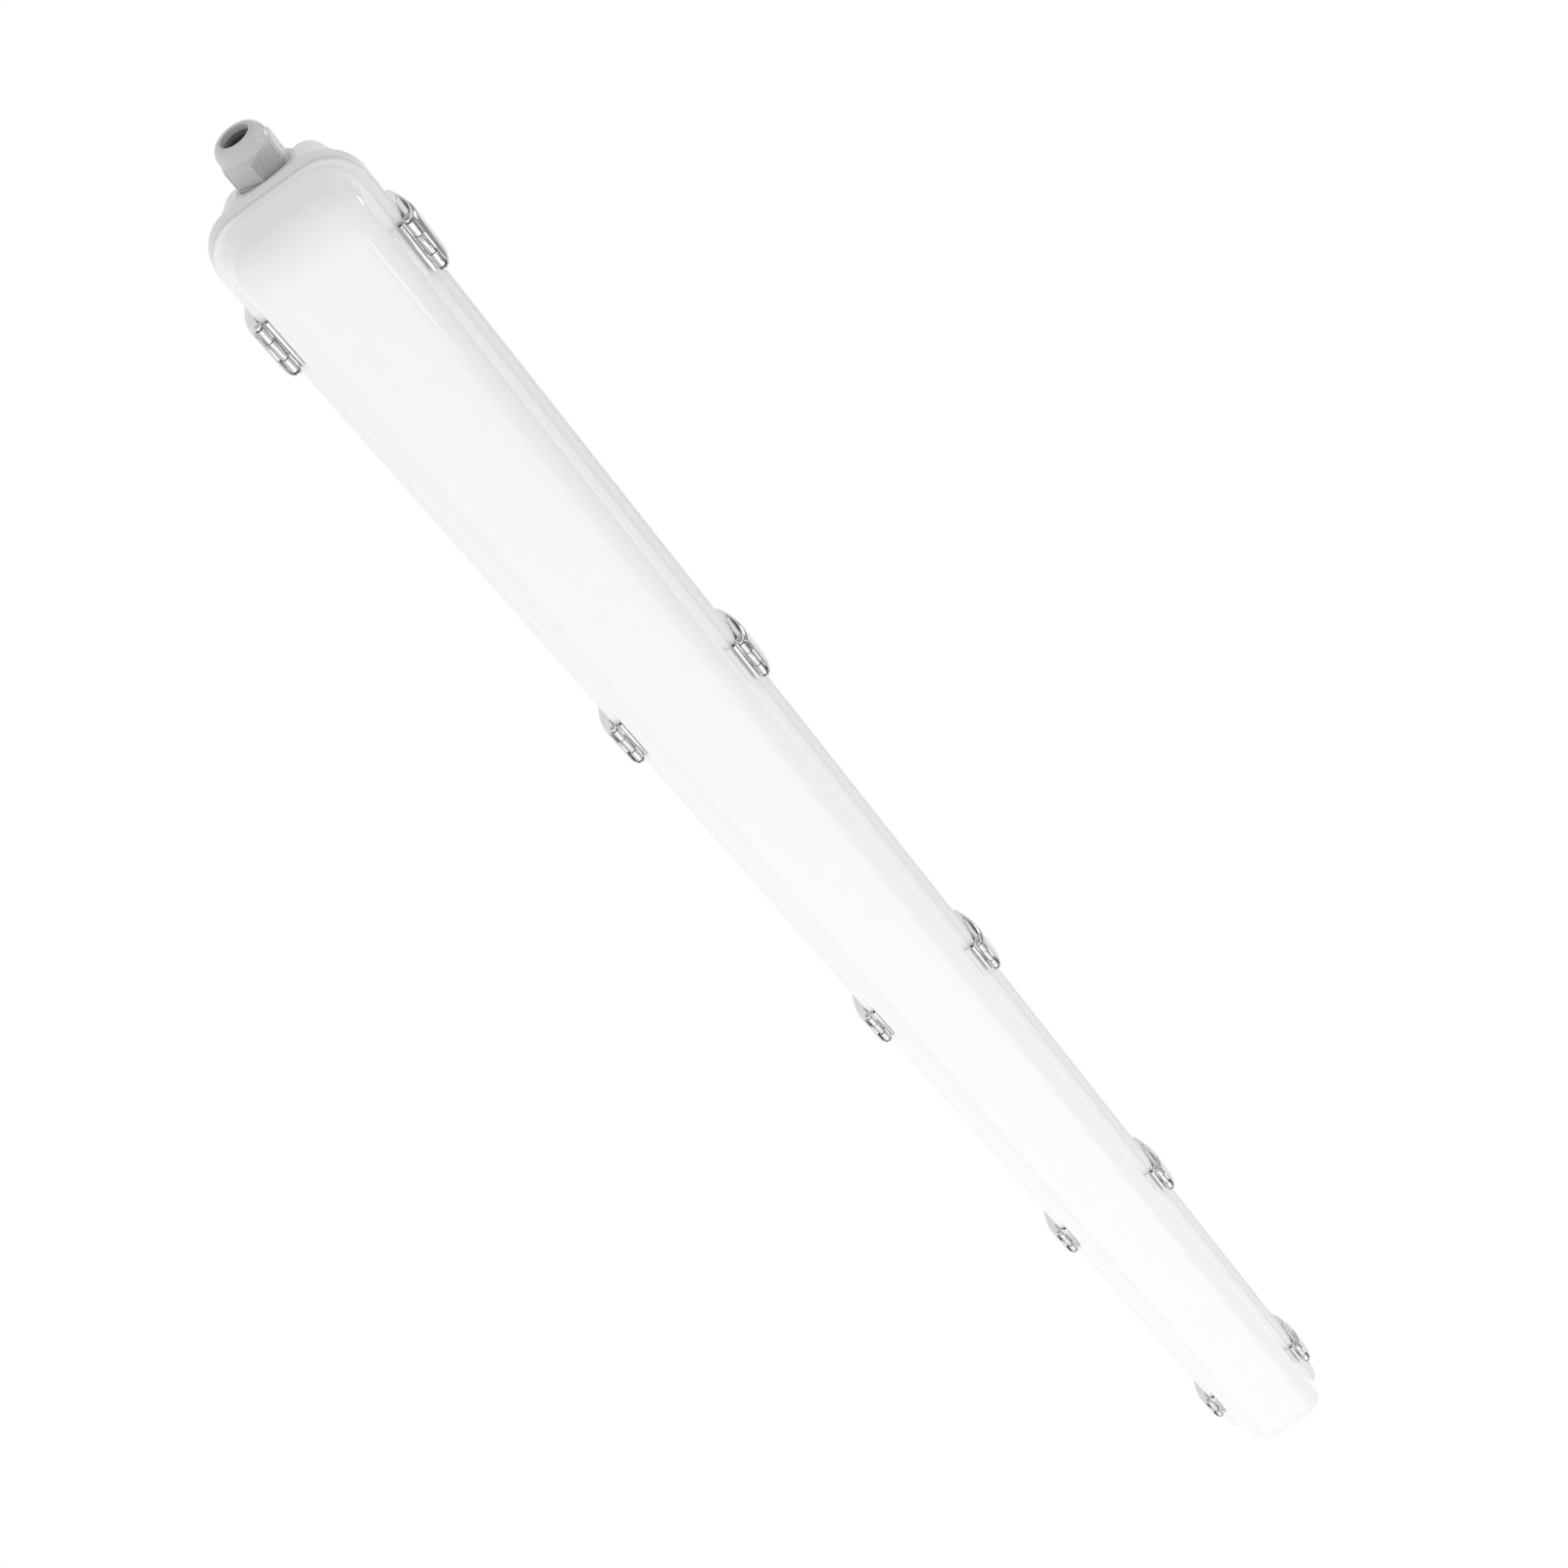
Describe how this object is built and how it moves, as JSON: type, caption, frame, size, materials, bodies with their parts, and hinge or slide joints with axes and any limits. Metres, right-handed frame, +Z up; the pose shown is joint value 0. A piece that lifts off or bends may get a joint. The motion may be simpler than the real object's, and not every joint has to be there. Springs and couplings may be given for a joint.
{
  "type": "vapor tight light fixture",
  "caption": "Long sealed linear ceiling light: tapered white housing, opal diffuser with a flat flange, stainless hinged latches along both sides and a cable gland at one end.",
  "frame": {"origin": "middle of the flat face that lies on the ceiling", "axes": "+Z up into the ceiling, X along the fixture with the gland at the -X end, Y across it; the diffuser faces -Z"},
  "size_m": [1.5122, 0.1014, 0.096],
  "materials": {
    "housing": "satin moulded plastic",
    "diffuser": "glossy opal plastic",
    "gasket": "foamed rubber",
    "seal_rubber": "moulded rubber",
    "gland_plastic": "satin moulded plastic",
    "latch_stainless": "polished stainless sheet",
    "pin_steel": "drawn steel",
    "gear_tray": "white powder coat",
    "led_board": "white solder mask",
    "led_driver": "white plastic case",
    "terminal_block": "natural plastic",
    "screw": "zinc plated",
    "lead_brown": "wire insulation",
    "lead_blue": "wire insulation",
    "lead_green": "wire insulation",
    "lead_red": "wire insulation",
    "lead_black": "wire insulation"
  },
  "bodies": {
    "fixture": {"housing": "housing", "diffuser": "diffuser", "gasket": "gasket", "gear_tray": "gear_tray", "led_board_1": "led_board", "led_board_2": "led_board", "led_board_3": "led_board", "led_link_1": "terminal_block", "led_link_2": "terminal_block", "led_driver": "led_driver", "terminal_block": "terminal_block", "tray_screw_1": "screw", "tray_screw_2": "screw", "tray_screw_3": "screw", "tray_screw_4": "screw", "driver_screw_1": "screw", "driver_screw_2": "screw", "lead_live": "lead_brown", "lead_neutral": "lead_blue", "lead_earth": "lead_green", "lead_plus": "lead_red", "lead_minus": "lead_black", "gland_washer": "seal_rubber", "gland_body": "gland_plastic", "gland_locknut": "gland_plastic", "gland_seal": "seal_rubber", "latch_left_1_clip": "latch_stainless", "latch_left_1_pin": "pin_steel", "latch_left_2_clip": "latch_stainless", "latch_left_2_pin": "pin_steel", "latch_left_3_clip": "latch_stainless", "latch_left_3_pin": "pin_steel", "latch_left_4_clip": "latch_stainless", "latch_left_4_pin": "pin_steel", "latch_left_5_clip": "latch_stainless", "latch_left_5_pin": "pin_steel", "latch_right_1_clip": "latch_stainless", "latch_right_1_pin": "pin_steel", "latch_right_2_clip": "latch_stainless", "latch_right_2_pin": "pin_steel", "latch_right_3_clip": "latch_stainless", "latch_right_3_pin": "pin_steel", "latch_right_4_clip": "latch_stainless", "latch_right_4_pin": "pin_steel", "latch_right_5_clip": "latch_stainless", "latch_right_5_pin": "pin_steel"},
    "latch_left_1": {"latch_left_1_lever": "latch_stainless"},
    "latch_left_2": {"latch_left_2_lever": "latch_stainless"},
    "latch_left_3": {"latch_left_3_lever": "latch_stainless"},
    "latch_left_4": {"latch_left_4_lever": "latch_stainless"},
    "latch_left_5": {"latch_left_5_lever": "latch_stainless"},
    "latch_right_1": {"latch_right_1_lever": "latch_stainless"},
    "latch_right_2": {"latch_right_2_lever": "latch_stainless"},
    "latch_right_3": {"latch_right_3_lever": "latch_stainless"},
    "latch_right_4": {"latch_right_4_lever": "latch_stainless"},
    "latch_right_5": {"latch_right_5_lever": "latch_stainless"},
    "gland_dome_nut": {"gland_nut": "gland_plastic"}
  },
  "joints": [
    {"name": "latch_left_1_hinge", "type": "hinge", "parent": "fixture", "child": "latch_left_1", "pos_m": [-0.682, 0.045, -0.064], "axis": [-1, 0, 0], "range_deg": [0, 120]},
    {"name": "latch_left_2_hinge", "type": "hinge", "parent": "fixture", "child": "latch_left_2", "pos_m": [-0.341, 0.045, -0.064], "axis": [-1, 0, 0], "range_deg": [0, 120]},
    {"name": "latch_left_3_hinge", "type": "hinge", "parent": "fixture", "child": "latch_left_3", "pos_m": [0, 0.045, -0.064], "axis": [-1, 0, 0], "range_deg": [0, 120]},
    {"name": "latch_left_4_hinge", "type": "hinge", "parent": "fixture", "child": "latch_left_4", "pos_m": [0.341, 0.045, -0.064], "axis": [-1, 0, 0], "range_deg": [0, 120]},
    {"name": "latch_left_5_hinge", "type": "hinge", "parent": "fixture", "child": "latch_left_5", "pos_m": [0.682, 0.045, -0.064], "axis": [-1, 0, 0], "range_deg": [0, 120]},
    {"name": "latch_right_1_hinge", "type": "hinge", "parent": "fixture", "child": "latch_right_1", "pos_m": [-0.682, -0.045, -0.064], "axis": [1, 0, 0], "range_deg": [0, 120]},
    {"name": "latch_right_2_hinge", "type": "hinge", "parent": "fixture", "child": "latch_right_2", "pos_m": [-0.341, -0.045, -0.064], "axis": [1, 0, 0], "range_deg": [0, 120]},
    {"name": "latch_right_3_hinge", "type": "hinge", "parent": "fixture", "child": "latch_right_3", "pos_m": [0, -0.045, -0.064], "axis": [1, 0, 0], "range_deg": [0, 120]},
    {"name": "latch_right_4_hinge", "type": "hinge", "parent": "fixture", "child": "latch_right_4", "pos_m": [0.341, -0.045, -0.064], "axis": [1, 0, 0], "range_deg": [0, 120]},
    {"name": "latch_right_5_hinge", "type": "hinge", "parent": "fixture", "child": "latch_right_5", "pos_m": [0.682, -0.045, -0.064], "axis": [1, 0, 0], "range_deg": [0, 120]},
    {"name": "gland_nut_turn", "type": "hinge", "parent": "fixture", "child": "gland_dome_nut", "pos_m": [-0.752, 0, -0.0186], "axis": [-1, 0, 0], "range_deg": [0, 1080]}
  ]
}
